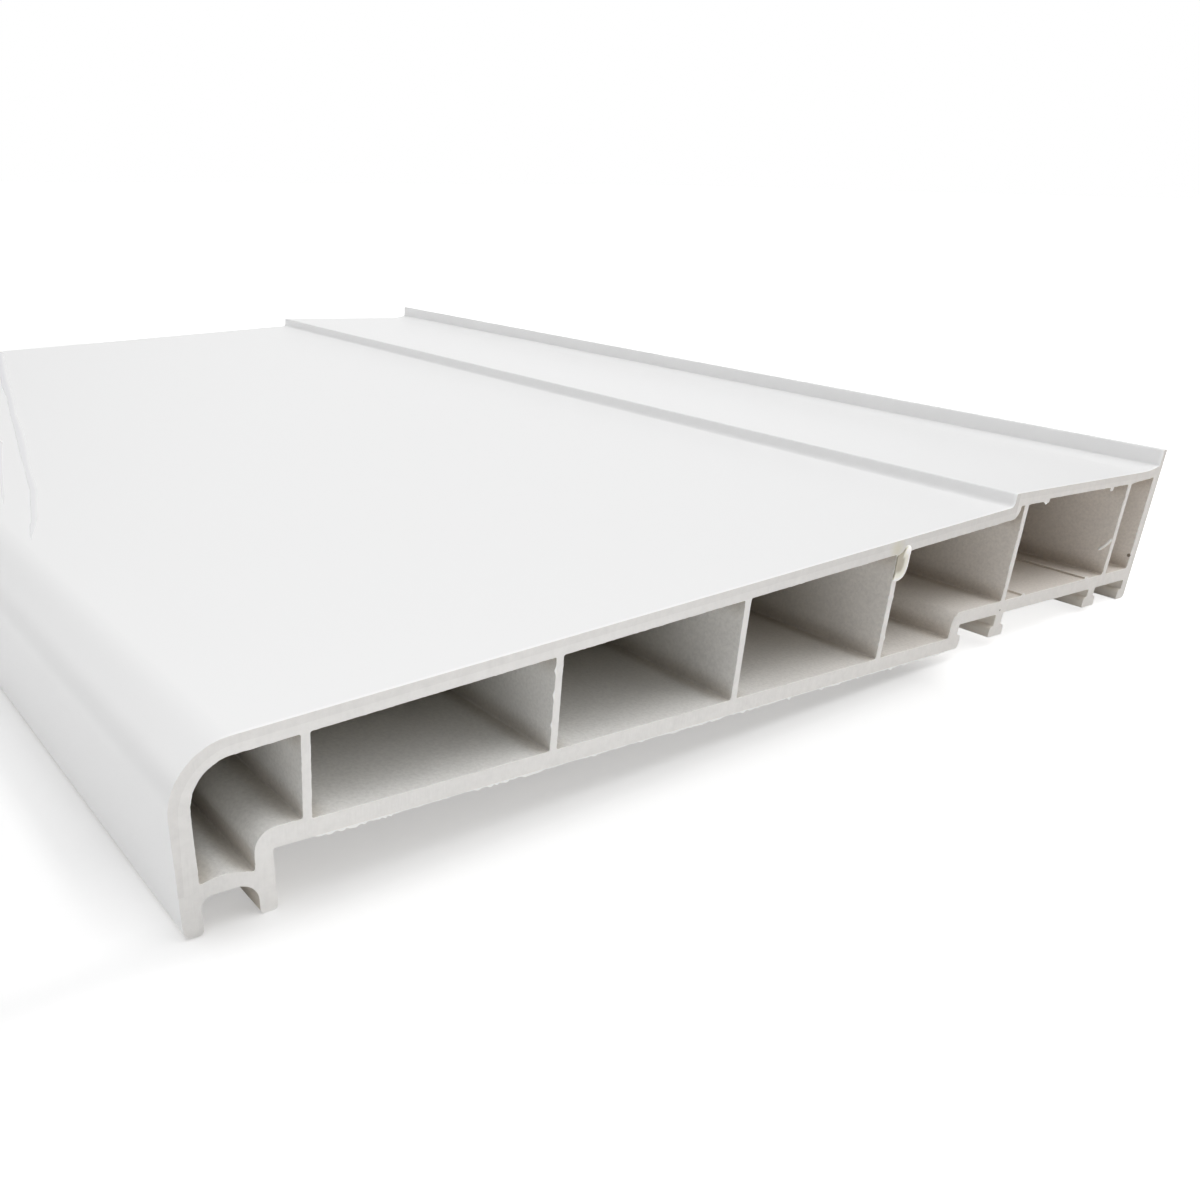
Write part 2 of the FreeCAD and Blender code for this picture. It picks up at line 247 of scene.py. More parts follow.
# Painted shade in the chambers' corners, darker where nearby walls close off the air
corner = add(tree, "ShaderNodeAmbientOcclusion", {"samples": 8, "only_local": True}, Distance=CORNER_REACH)
corner = add(
    tree, "ShaderNodeMapRange",
    Value=corner.outputs["AO"], i1=CORNER_FADE[0], i2=CORNER_FADE[1], i3=1.0, i4=0.0,
).outputs[0]
chamber_colour = add(
    tree, "ShaderNodeMix", TIMES, i0=corner, i6=chamber_colour, i7=linear(CORNER_SHADE),
).outputs[2]
past_nose = add(tree, "ShaderNodeMapRange", SMOOTH, Value=back, i1=NOSE_END[0], i2=NOSE_END[1]).outputs[0]
# Painted highlight: the skin turns whiter within EDGE_WIDTH of the sawn ends
edge_highlight = add(tree, "ShaderNodeMapRange", Value=from_end, i2=EDGE_WIDTH, i3=1.0, i4=0.0).outputs[0]
edge_highlight = add(tree, "ShaderNodeMath", {"operation": "MULTIPLY"}, i0=edge_highlight, i1=past_nose).outputs[0]
skin_colour = add(
    tree, "ShaderNodeMix", BLEND, i0=edge_highlight, i6=linear(SKIN_WHITE), i7=linear(EDGE_HIGHLIGHT),
).outputs[2]
skin_colour = add(
    tree, "ShaderNodeMix", BLEND, i0=is_under, i6=skin_colour, i7=linear(UNDERSIDE_WHITE),
).outputs[2]
from_streak = add(tree, "ShaderNodeMath", {"operation": "SUBTRACT"}, i0=height, i1=STREAK_HEIGHT).outputs[0]
from_streak = add(tree, "ShaderNodeMath", {"operation": "ABSOLUTE"}, i0=from_streak).outputs[0]
streak = add(
    tree, "ShaderNodeMapRange", SMOOTH,
    Value=from_streak, i1=STREAK_FADE[0], i2=STREAK_FADE[1], i3=STREAK_SHADE, i4=1.0,
).outputs[0]
streak = add(tree, "ShaderNodeMix", i0=past_nose, i2=streak, i3=1.0).outputs[0]
skin_colour = add(tree, "ShaderNodeMix", TIMES, i0=1.0, i6=skin_colour, i7=streak).outputs[2]
# Painted light: the sawn face is lighter at the front and darker towards the rear
sawn_colour = add(
    tree, "ShaderNodeMix", BLEND, i0=rearwards, i6=linear(SAWN_FRONT), i7=linear(SAWN_REAR),
).outputs[2]
grain_and_shade = add(
    tree, "ShaderNodeTexNoise", Vector=section, Scale=GRAIN_CELLS, Detail=4.0, Roughness=0.65,
).outputs[0]
grain_and_shade = add(
    tree, "ShaderNodeMapRange",
    Value=grain_and_shade, i1=NOISE_MIDDLE[0], i2=NOISE_MIDDLE[1], i3=GRAIN_SHADES[0], i4=GRAIN_SHADES[1],
).outputs[0]
# Painted shade: the sawn face darkens down towards the drip lips
lip_shade = add(
    tree, "ShaderNodeMapRange", Value=height, i1=LIP_SHADE_FADE[0], i2=LIP_SHADE_FADE[1], i3=LIP_SHADE, i4=1.0,
).outputs[0]
lip_shade = add(tree, "ShaderNodeMix", i0=past_nose, i2=lip_shade, i3=1.0).outputs[0]
grain_and_shade = add(tree, "ShaderNodeMath", {"operation": "MULTIPLY"}, i0=grain_and_shade, i1=lip_shade).outputs[0]
# The top skin's sawn face is darker towards the riser and on the platform
top_darkening = add(
    tree, "ShaderNodeMapRange", SMOOTH,
    Value=back, i1=TOP_DARKENING_FADE[0], i2=TOP_DARKENING_FADE[1], i3=1.0, i4=TOP_DARKENING,
).outputs[0]
top_darkening = add(tree, "ShaderNodeMix", i0=behind_riser, i2=top_darkening, i3=PLATFORM_DARKENING).outputs[0]
under_skin = add(
    tree, "ShaderNodeMath", {"operation": "LESS_THAN"}, i0=reach, i1=NOSE_RADIUS - TOP_SKIN,
).outputs[0]
top_darkening = add(tree, "ShaderNodeMix", i0=under_skin, i2=top_darkening, i3=1.0).outputs[0]
grain_and_shade = add(tree, "ShaderNodeMath", {"operation": "MULTIPLY"}, i0=grain_and_shade, i1=top_darkening).outputs[0]
sawn_colour = add(tree, "ShaderNodeMix", TIMES, i0=1.0, i6=sawn_colour, i7=grain_and_shade).outputs[2]
in_skin = add(tree, "ShaderNodeMath", {"operation": "SUBTRACT"}, i0=1.0, i1=is_chamber).outputs[0]
in_skin = add(tree, "ShaderNodeMath", {"operation": "MULTIPLY"}, i0=in_skin, i1=over_bottom).outputs[0]
in_skin = add(tree, "ShaderNodeMath", {"operation": "MULTIPLY"}, i0=in_skin, i1=SKIN_TINT).outputs[0]
skin_tint = add(
    tree, "ShaderNodeMix", TIMES, i0=in_skin, i6=sawn_colour, i7=linear(SAWN_SKIN_WHITE),
).outputs[2]
stain_offset = add(
    tree, "ShaderNodeVectorMath", {"operation": "SUBTRACT"}, i0=section, i1=(end_x / MM, *STAIN_PLACE),
).outputs[0]
stain_reach = add(tree, "ShaderNodeVectorMath", {"operation": "LENGTH"}, i0=stain_offset).outputs["Value"]
stain = add(
    tree, "ShaderNodeMapRange", SMOOTH, Value=stain_reach, i2=STAIN_RADIUS, i3=STAIN_STRENGTH, i4=0.0,
).outputs[0]
sawn_colour = add(tree, "ShaderNodeMix", BLEND, i0=stain, i6=skin_tint, i7=linear(STAIN_COLOUR)).outputs[2]
colour = add(tree, "ShaderNodeMix", BLEND, i0=is_chamber, i6=skin_colour, i7=chamber_colour).outputs[2]
colour = add(tree, "ShaderNodeMix", BLEND, i0=is_sawn, i6=colour, i7=sawn_colour).outputs[2]

# Gloss and fine relief: faint die lines along the bar on the skin, blade marks across the sawn ends
is_matt = add(tree, "ShaderNodeMath", {"operation": "MAXIMUM"}, i0=is_chamber, i1=is_under).outputs[0]
roughness = add(tree, "ShaderNodeMix", i0=is_matt, i2=SKIN_ROUGHNESS, i3=CHAMBER_ROUGHNESS).outputs[0]
roughness = add(tree, "ShaderNodeMix", i0=is_sawn, i2=roughness, i3=SAWN_ROUGHNESS).outputs[0]
die_place = add(
    tree, "ShaderNodeVectorMath", {"operation": "MULTIPLY"}, i0=section, i1=DIE_LINE_STRETCH,
).outputs[0]
die_lines = add(tree, "ShaderNodeTexNoise", Vector=die_place, Scale=DIE_LINE_CELLS, Detail=2.0).outputs[0]
blade_place = add(
    tree, "ShaderNodeVectorMath", {"operation": "MULTIPLY"}, i0=section, i1=BLADE_MARK_STRETCH,
).outputs[0]
blade_marks = add(
    tree, "ShaderNodeTexNoise", Vector=blade_place, Scale=BLADE_MARK_CELLS, Detail=3.0,
).outputs[0]
relief = add(tree, "ShaderNodeMix", i0=is_sawn, i2=die_lines, i3=blade_marks).outputs[0]
relief_height = add(tree, "ShaderNodeMix", i0=is_sawn, i2=DIE_LINE_HEIGHT, i3=BLADE_MARK_HEIGHT).outputs[0]
bump = add(tree, "ShaderNodeBump", Strength=1.0, Distance=relief_height, Height=relief).outputs[0]
shader = add(
    tree, "ShaderNodeBsdfPrincipled", Base_Color=colour, Roughness=roughness, IOR=PVC_IOR, Normal=bump,
)
add(tree, "ShaderNodeOutputMaterial", Surface=shader.outputs[0])
board.data.materials.clear()
board.data.materials.append(white_pvc)

# Saw burrs: thin ragged lips that the blade left along the edges of both sawn ends, heaviest under the
# floor skin, where it came out. They are the board's own PVC, whiter for being torn, and a painted glow
# makes them brighter still.
BURR_STEP = 0.25
BURR_ROOT = 0.12
BURR_THICK = 0.1
BURR_DEEP = 0.35
BURR_SUNK = 0.015
TIP_SUNK = 0.02
# Their full reach under the floor skin, from FLOOR_FROM to near the step, and round the chambers. An edge
# longer than OUTER_EDGE is the section's outer one, which has no burr elsewhere
FLOOR_BURR = 0.42
FLOOR_FROM = 19
CHAMBER_BURR = 0.08
OUTER_EDGE = 500
TUFT_SPACING = 2.4
TOOTH_SPACING = 0.45
TORN_WHITE = "#FFFEFA"
TORN_ROUGHNESS = 0.6
TORN_GLOW = 0.1
SAME_PLANE = 0.000001
# Larger nubs, each by its place in the section, its reach and its length along the edge
NUBS = [
    (17.9, 7.4, 0.35, 0.7), (56.9, 15.5, 0.5, 0.8), (57.0, 11.7, 0.3, 1.0), (57.0, 7.0, 0.3, 0.8),
    (134.4, 14.6, 0.35, 0.8), (135.0, 6.6, 0.35, 0.7), (172.9, 14.9, 0.4, 0.8), (179.9, 27.0, 0.4, 0.5),
    (205.6, 28.0, 0.9, 0.3), (25.2, 0.0, 0.15, 1.2), (110.5, 0.0, 0.35, 0.8), (139.0, 0.0, 0.4, 0.7),
    (223.6, 34.2, 0.25, 0.5),
]


def cut_loops(mesh, x_end):
    """The closed edges of the sawn face at x_end, each as points and as directions into the air beside it,
    in section millimetres: a side face touches the sawn plane in one edge, and the edges are chained."""
    onward = {}
    for face in mesh.polygons:
        if abs(face.normal.x) > 0.5:
            continue
        corners = [mesh.vertices[i].co for i in face.vertices]
        ends = [np.array(corner) for corner in corners if abs(corner.x - x_end) < SAME_PLANE]
        if len(ends) != 2:
            continue
        air = np.array(face.normal)
        if np.cross(air, ends[1] - ends[0])[0] < 0:
            ends.reverse()
        onward[tuple(np.round(ends[0], 7))] = (tuple(np.round(ends[1], 7)), air)
    loops = []
    while onward:
        key = next(iter(onward))
        points, airs = [], []
        while key in onward:
            following, air = onward.pop(key)
            corner = np.array(key)
            points.append(((corner @ backward - nose_level) / MM, (corner @ upward - underside_level) / MM))
            airs.append((air @ backward, air @ upward))
            key = following
        loops.append((np.array(points), np.array(airs)))
    return loops


def solid(name, rings, closed=False, smooth=True, **attributes):
    """A closed mesh through rings of points: ring i's point j meets its neighbours j + 1 and i + 1 in a
    four-sided face. The last ring joins the first if closed, or else a flat face shuts each end ring."""
    count, around = rings.shape[:2]
    i, j = np.meshgrid(np.arange(count if closed else count - 1), np.arange(around), indexing="ij")
    after, beside = (i + 1) % count, (j + 1) % around
    corners = [i * around + j, i * around + beside, after * around + beside, after * around + j]
    faces = [tuple(int(corner) for corner in face) for face in np.stack(corners, -1).reshape(-1, 4)]
    if not closed:
        faces.append(tuple(range(around))[::-1])
        faces.append(tuple(range((count - 1) * around, count * around)))
    mesh = bpy.data.meshes.new(name)
    mesh.from_pydata(rings.reshape(-1, 3).tolist(), [], faces)
    mesh.update()
    volume = sum(face.center.dot(face.normal) * face.area for face in mesh.polygons)
    if volume < 0:
        mesh.flip_normals()
    mesh.polygons.foreach_set("use_smooth", [smooth] * len(faces))
    for attribute, values in attributes.items():
        layer = mesh.attributes.new(attribute, "FLOAT", "POINT")
        layer.data.foreach_set("value", np.asarray(values, dtype=float).ravel())
    piece = bpy.data.objects.new(name, mesh)
    bpy.context.scene.collection.objects.link(piece)
    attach(piece, "root")
    return piece


def ragged(distance, length, spacing, rng):
    """Smooth chance heights at these distances round a closed edge: random knots about one spacing apart,
    joined by straight lines, the last to the first."""
    knots = max(int(length / spacing), 3)
    return np.interp(distance, np.arange(knots) * length / knots, rng.random(knots), period=length)


def burr(name, x_end, points, airs, rng):
    """A ragged lip round one edge: at each place a small wedge from BURR_ROOT inside the plastic to its
    reach in the air, its face BURR_SUNK behind the sawn plane and its root BURR_DEEP behind that. The reach
    is size times 0.2 + 1.5 tufts times (0.1 + 1.2 teeth squared), both by chance from 0 to 1, plus a bell
    for each nub. The way into the air is averaged over three places."""
    following = np.roll(points, -1, axis=0)
    lengths = np.linalg.norm(following - points, axis=1)
    starts = np.concatenate([[0], np.cumsum(lengths)])
    length = starts[-1]
    distance = np.arange(0, length, BURR_STEP)
    edge = np.searchsorted(starts, distance, side="right") - 1
    share = ((distance - starts[edge]) / lengths[edge])[:, None]
    places = points[edge] * (1 - share) + following[edge] * share
    air = airs[edge]
    air = air + np.roll(air, 1, axis=0) + np.roll(air, -1, axis=0)
    air /= np.maximum(np.linalg.norm(air, axis=1), 0.2)[:, None]
    y, z = places.T
    under_floor = (np.abs(z) < 0.05) & (y > FLOOR_FROM) & (y < STEP_PLACE - 2) & (air[:, 1] < -0.9)
    size = np.where(under_floor, FLOOR_BURR, 0.0 if length > OUTER_EDGE else CHAMBER_BURR)
    tufts, teeth = ragged(distance, length, TUFT_SPACING, rng), ragged(distance, length, TOOTH_SPACING, rng)
    out = size * np.clip(0.2 + 1.5 * tufts * (0.1 + 1.2 * teeth ** 2), 0, 1)
    for nub_y, nub_z, nub_reach, nub_length in NUBS:
        out += nub_reach * np.exp(-((y - nub_y) ** 2 + (z - nub_z) ** 2) / (nub_length / 2) ** 2)
    inwards = -math.copysign(MM, x_end)
    root, tip = places - air * BURR_ROOT, places + air * (out - TIP_SUNK)[:, None]
    front = x_end + BURR_SUNK * inwards
    rings = np.stack([
        on_board(front, *root.T), on_board(front, *tip.T), on_board(front + BURR_THICK * inwards, *tip.T),
        on_board(front + BURR_DEEP * inwards, *root.T),
    ], axis=1)
    return solid(name, rings, closed=True, smooth=False)


torn_pvc, tree = new_material("torn_rigid_pvc")
shader = add(
    tree, "ShaderNodeBsdfPrincipled", Base_Color=linear(TORN_WHITE),
    Roughness=TORN_ROUGHNESS, IOR=PVC_IOR, Emission_Color=linear(TORN_WHITE), Emission_Strength=TORN_GLOW,
)
add(tree, "ShaderNodeOutputMaterial", Surface=shader.outputs[0])
rng = np.random.default_rng(7)
for end_name, x_end in (("right", end_x), ("left", -end_x)):
    for number, (points, airs) in enumerate(cut_loops(board.data, x_end)):
        lip = burr(f"saw_burr_{end_name}_{number}", x_end, points, airs, rng)
        lip.data.materials.append(torn_pvc)

# Flap: at one end the upper part of the web in front of the step is pushed rearwards, and the blade left
# it as a thin curled flap. It is the same PVC, ivory where it was stretched, and grows out of the web. Its
# colour holds painted shade on its inner part, and a painted highlight and glow along its white rim.
FLAP_MIDDLE = (134.7, 20.7)
FLAP_OUTLINE = [
    (133.55, 17.9), (134.1, 17.65), (134.8, 17.55), (135.7, 17.75), (136.4, 18.2), (136.85, 19.0),
    (137.1, 19.9), (137.15, 20.9), (137.15, 21.9), (137.2, 22.9), (136.9, 23.6), (136.2, 23.95),
    (135.6, 23.7), (135.1, 22.9), (134.3, 22.5), (133.55, 22.2), (133.55, 21.2), (133.55, 20.1),
    (133.55, 19.0),
]
# Each ring of the flap: its size against the outline, and its place in millimetres out from the sawn end
FLAP_RINGS = [
    (0.05, 0.04), (0.4, 0.05), (0.6, 0.08), (0.75, 0.15), (0.88, 0.22), (0.96, 0.22), (1.0, 0.1),
    (1.0, -0.3), (0.8, -1.2), (0.55, -2.6), (0.3, -4.2), (0.1, -6.0),
]
WEB_FRONT = 133.62
FLAP_SHADE = "#BDB5A4"
FLAP_IVORY = "#F1EFE2"
FLAP_RIM_HIGHLIGHT = "#FCF9F4"
FLAP_GLOW = 0.18
FLAP_ROUGHNESS = 0.5
# Its rim value grows to 1 over FLAP_BACK behind the middle and FLAP_DOWN below it, and by TIP_SHARE more at
# the tip. The two fades turn it into the three colours: painted shade, ivory, and the white rim with its
# painted highlight
FLAP_BACK = 1.8
FLAP_DOWN = 3.0
FLAP_TIP = (136.6, 23.5)
TIP_SHARE = 0.4
TIP_SPREAD = 0.8
SHADE_FADE = (0.35, 0.65)
EDGE_FADE = (0.65, 0.95)


def smooth_outline(corners, steps):
    """A closed curve through these corners: each stretch is the cubic whose slope at a corner is half the
    way between the corners before and after it (Catmull-Rom)."""
    corners = np.array(corners)
    before, after, beyond = (np.roll(corners, shift, axis=0) for shift in (1, -1, -2))
    share = (np.arange(steps) / steps)[:, None, None]
    curve = 0.5 * (
        2 * corners + (after - before) * share
        + (2 * before - 5 * corners + 4 * after - beyond) * share ** 2
        + (3 * corners - before - 3 * after + beyond) * share ** 3
    )
    return curve.transpose(1, 0, 2).reshape(-1, 2)


outline = smooth_outline(FLAP_OUTLINE, 4)
middle = np.array(FLAP_MIDDLE)
turned = outline - middle
rearness = np.clip(turned[:, 0] / FLAP_BACK, 0, 1) + np.clip(-turned[:, 1] / FLAP_DOWN, 0, 1) ** 3
tip_nearness = np.exp(-((outline - np.array(FLAP_TIP)) ** 2).sum(axis=1) / TIP_SPREAD)
rings, rims = [], []
for size, out in FLAP_RINGS:
    ring_place = middle + turned * size
    if out < 0:
        ring_place[:, 0] = np.maximum(ring_place[:, 0], WEB_FRONT + 0.1)
    rings.append(on_board(end_x + out * MM, ring_place[:, 0], ring_place[:, 1]))
    rims.append((np.clip(rearness, 0, 1) + TIP_SHARE * tip_nearness) * size)
flap = solid("web_flap", np.array(rings), rim=np.array(rims))
ivory_pvc, tree = new_material("stretched_ivory_pvc")
rim = add(tree, "ShaderNodeAttribute", {"attribute_name": "rim"}).outputs["Fac"]
shade = add(tree, "ShaderNodeMapRange", SMOOTH, Value=rim, i1=SHADE_FADE[0], i2=SHADE_FADE[1])
ivory = add(
    tree, "ShaderNodeMix", BLEND, i0=shade.outputs[0], i6=linear(FLAP_SHADE), i7=linear(FLAP_IVORY),
).outputs[2]
rim_highlight = add(tree, "ShaderNodeMapRange", SMOOTH, Value=rim, i1=EDGE_FADE[0], i2=EDGE_FADE[1])
flap_colour = add(
    tree, "ShaderNodeMix", BLEND, i0=rim_highlight.outputs[0], i6=ivory, i7=linear(FLAP_RIM_HIGHLIGHT),
).outputs[2]
# Its thin rim has a painted glow, most at the tip
glow = add(tree, "ShaderNodeMath", {"operation": "POWER"}, i0=rim, i1=4.0).outputs[0]
glow = add(tree, "ShaderNodeMath", {"operation": "MULTIPLY"}, i0=glow, i1=FLAP_GLOW).outputs[0]
shader = add(
    tree, "ShaderNodeBsdfPrincipled", Base_Color=flap_colour,
    Roughness=FLAP_ROUGHNESS, IOR=PVC_IOR, Emission_Color=flap_colour, Emission_Strength=glow,
)
add(tree, "ShaderNodeOutputMaterial", Surface=shader.outputs[0])
flap.data.materials.append(ivory_pvc)

# Film creases: the clear protective film on the top has lifted in two low creases that run aslant from the
# far end to the nose. It is thin polythene, held by its own tack, and slightly greyer than the skin; across
# each crease its colour holds a painted highlight on the steep nose side and painted shade beyond it.
FILM_GREY_AND_SHADE = "#DFDFE3"
FILM_HIGHLIGHT = "#F8F8F9"
FILM_ROUGHNESS = 0.2
FILM_IOR = 1.5
FILM_SUNK = 0.05
# Across a crease it turns from the painted highlight to grey and painted shade over the first shares of
# the width, and as white as the skin over the second
FILM_GREYING = (0.05, 0.2)
FILM_WHITENING = (0.35, 0.95)
CREASE_STEP = 0.8
CREASE_WAVES = 14.0
CREASE_ENDS = (3, 12)
# A crease's shape across: shares of its width from the nose side, and shares of its height there
ARCH = [
    (0.0, 0.0), (0.08, 0.6), (0.16, 1.0), (0.28, 0.8), (0.45, 0.6), (0.6, 0.45), (0.75, 0.3), (0.9, 0.13),
    (1.0, 0.0),
]
# Each crease: its width and height in millimetres, and its line as metres along and millimetres back
CREASES = [
    (2.9, 0.16, [
        (-0.1570, 59.5), (-0.1181, 50.7), (-0.0904, 45.0), (-0.0659, 40.2), (-0.0446, 35.4),
        (-0.0253, 31.8), (-0.0082, 28.2), (0.0072, 24.8), (0.0212, 21.9), (0.0340, 19.4),
        (0.0452, 16.4), (0.0555, 13.7), (0.0647, 10.7), (0.0707, 9.3),
    ]),
    (1.6, 0.07, [
        (-0.0167, 25.2), (-0.0011, 21.4), (0.0132, 18.2), (0.0262, 15.2), (0.0381, 12.6), (0.0468, 10.5),
    ]),
]


def crease(name, width, rise, line, rng):
    """A low ridge along a line on the top: across it the height is rise times the lopsided arch, steep on
    the nose side, and its underside lies FILM_SUNK in the skin. Width and height waver, shrink along the
    line by half, and die out over CREASE_ENDS, its first and last millimetres."""
    line = np.array(line) * (1 / MM, 1)
    lengths = np.linalg.norm(np.diff(line, axis=0), axis=1)
    starts = np.concatenate([[0], np.cumsum(lengths)])
    distance = np.linspace(0, starts[-1], max(int(starts[-1] / CREASE_STEP), 12))
    spine = np.stack([np.interp(distance, starts, line[:, axis]) for axis in (0, 1)], axis=1)
    ahead = np.gradient(spine, axis=0)
    ahead /= np.linalg.norm(ahead, axis=1)[:, None]
    across = np.stack([-ahead[:, 1], ahead[:, 0]], axis=1)
    onward = distance / starts[-1]
    from_ends = np.minimum(distance / CREASE_ENDS[0], (starts[-1] - distance) / CREASE_ENDS[1])
    faded = np.clip(from_ends, 0.02, 1) * (1 - 0.5 * onward)
    waver = 0.8 + 0.4 * ragged(distance, starts[-1], CREASE_WAVES, rng)
    shares, arch = np.array(ARCH).T
    shares, arch = np.append(shares, shares[-2:0:-1]), np.append(arch, np.zeros(len(shares) - 2))
    sideways = (shares[None, :] - 0.5) * (width * faded * waver)[:, None]
    lift = arch[None, :] * (rise * faded * waver)[:, None] - FILM_SUNK * (arch == 0)[None, :]
    x = spine[:, :1] + across[:, :1] * sideways
    y = spine[:, 1:] + across[:, 1:] * sideways
    rings = on_board(x * MM, y, TOP_AT_NOSE + TOP_SLOPE * y + lift)
    strength = np.broadcast_to(rise / CREASES[0][1] * (1 - 0.6 * onward)[:, None], sideways.shape)
    return solid(name, rings, across=np.broadcast_to(shares, sideways.shape), strength=strength)


film, tree = new_material("clear_protective_film")
share = add(tree, "ShaderNodeAttribute", {"attribute_name": "across"}).outputs["Fac"]
strength = add(tree, "ShaderNodeAttribute", {"attribute_name": "strength"}).outputs["Fac"]
greying = add(tree, "ShaderNodeMapRange", SMOOTH, Value=share, i1=FILM_GREYING[0], i2=FILM_GREYING[1])
film_colour = add(
    tree, "ShaderNodeMix", BLEND, i0=greying.outputs[0], i6=linear(FILM_HIGHLIGHT), i7=linear(FILM_GREY_AND_SHADE),
).outputs[2]
whitening = add(
    tree, "ShaderNodeMapRange", SMOOTH, Value=share, i1=FILM_WHITENING[0], i2=FILM_WHITENING[1],
)
film_colour = add(
    tree, "ShaderNodeMix", BLEND, i0=whitening.outputs[0], i6=film_colour, i7=linear(SKIN_WHITE),
).outputs[2]
film_colour = add(
    tree, "ShaderNodeMix", BLEND, i0=strength, i6=linear(SKIN_WHITE), i7=film_colour,
).outputs[2]
shader = add(
    tree, "ShaderNodeBsdfPrincipled", Base_Color=film_colour, Roughness=FILM_ROUGHNESS, IOR=FILM_IOR,
)
add(tree, "ShaderNodeOutputMaterial", Surface=shader.outputs[0])
for number, (width, rise, line) in enumerate(CREASES):
    ridge = crease(f"film_crease_{number}", width, rise, line, rng)
    ridge.data.materials.append(film)

# Workshop dirt: two dark specks stuck to the plastic at the sawn end, and one pale thread of swarf on the
# rearmost web. The specks are dried brown dust, and the thread is PVC that the blade pulled out.
DIRT_BROWN = "#93887C"
DIRT_ROUGHNESS = 0.9
SPECK_RINGS = 9
SPECK_SIDES = 16
# Each speck: metres along the bar, its place in the section and its half sizes along, back and up
SPECKS = [
    (0.1576, 222.65, 10.75, (0.38, 0.1, 0.38)),
    (0.1580, 172.7, 5.9, (0.03, 0.2, 0.16)),
]
SWARF_RADIUS = 0.28
SWARF_STEPS = 24
SWARF_LINE = [
    (0.1556, 211.9, 12.8), (0.1563, 211.85, 13.6), (0.1569, 211.8, 14.3), (0.1574, 211.85, 15.1),
    (0.1578, 211.9, 15.9),
]

dried_dirt, tree = new_material("dried_brown_dirt")
shader = add(tree, "ShaderNodeBsdfPrincipled", Base_Color=linear(DIRT_BROWN), Roughness=DIRT_ROUGHNESS)
add(tree, "ShaderNodeOutputMaterial", Surface=shader.outputs[0])
turn = np.linspace(0, 2 * math.pi, SPECK_SIDES, endpoint=False)
for number, (x, y, z, (half_along, half_back, half_up)) in enumerate(SPECKS):
    tilt = np.linspace(0.08, math.pi - 0.08, SPECK_RINGS)[:, None]
    lump = 1 + 0.25 * (rng.random((SPECK_RINGS, SPECK_SIDES)) - 0.5)
    rings = on_board(
        x + half_along * MM * np.cos(tilt) * lump, y + half_back * np.sin(tilt) * np.cos(turn) * lump,
        z + half_up * np.sin(tilt) * np.sin(turn) * lump,
    )
    speck = solid(f"dirt_speck_{number}", rings)
    speck.data.materials.append(dried_dirt)
thread_line = np.array(SWARF_LINE)
steps = np.linspace(0, len(thread_line) - 1, SWARF_STEPS)
thread = [np.interp(steps, np.arange(len(thread_line)), thread_line[:, axis]) for axis in range(3)]
thread = np.stack(thread, axis=1)
thickness = SWARF_RADIUS * np.sqrt(np.clip(np.minimum(steps, steps[-1] - steps) * 2, 0.05, 1))[:, None]
rings = on_board(
    thread[:, :1] + thickness * MM * np.cos(turn), thread[:, 1:2] + 0.5 * thickness * np.sin(turn),
    thread[:, 2:] - 0.5 * thickness * np.cos(turn),
)
swarf = solid("swarf_thread", rings)
# The thread shares the burrs' material and its painted glow
swarf.data.materials.append(torn_pvc)

# Floor: a wide plain sheet of white paper. It shows the board's own shadow. For the camera it has painted
# light, a little brighter past the sawn ends and behind the step in the underside, and painted shade, a
# little darker right at the sawn ends and along the nose.
FLOOR_HALF = 6.0
FLOOR_WHITE = "#F2F2F2"
FLOOR_SEEN = "#CBCBCB"
FLOOR_GLOW = 0.41
# What is added to the glow, and the two places between which it fades in: metres along Y, then metres past
# the sawn end for the shade under the end and for the open floor
REAR_GLOW = (0.36, 0.03, 0.052)
END_SHADE = (-0.06, -0.006, 0.0)
OPEN_GLOW = (0.12, 0.0, 0.0085)
# The shade along the nose: its strength, its middle in front of the nose, its half widths, and the places
# past the sawn end between which it fades out
NOSE_SHADE = 0.1
NOSE_SHADE_AHEAD = 0.003
NOSE_SHADE_FADE = (0.003, 0.008)
NOSE_SHADE_END = (-0.03, 0.0)

floor_mesh = bpy.data.meshes.new("floor")
floor_corners = [(x * FLOOR_HALF, y * FLOOR_HALF, 0) for x, y in ((-1, -1), (1, -1), (1, 1), (-1, 1))]
floor_mesh.from_pydata(floor_corners, [], [(0, 1, 2, 3)])
floor = bpy.data.objects.new("floor", floor_mesh)
bpy.context.scene.collection.objects.link(floor)

white_sheet, tree = new_material("white_paper_sheet")
rays = add(tree, "ShaderNodeLightPath")
paper = add(tree, "ShaderNodeBsdfDiffuse", Color=linear(FLOOR_WHITE))
paper_seen = add(tree, "ShaderNodeBsdfDiffuse", Color=linear(FLOOR_SEEN))
floor_place = add(tree, "ShaderNodeTexCoord").outputs["Object"]
floor_place = add(tree, "ShaderNodeSeparateXYZ", i0=floor_place)
from_middle = add(tree, "ShaderNodeMath", {"operation": "ABSOLUTE"}, i0=floor_place.outputs["X"]).outputs[0]
past_end = add(tree, "ShaderNodeMath", {"operation": "SUBTRACT"}, i0=from_middle, i1=end_x).outputs[0]
nose_front = float(board_points[:, 1].min())
from_nose = add(
    tree, "ShaderNodeMath", {"operation": "SUBTRACT"},
    i0=floor_place.outputs["Y"], i1=nose_front - NOSE_SHADE_AHEAD,
).outputs[0]
from_nose = add(tree, "ShaderNodeMath", {"operation": "ABSOLUTE"}, i0=from_nose).outputs[0]
glow = FLOOR_GLOW
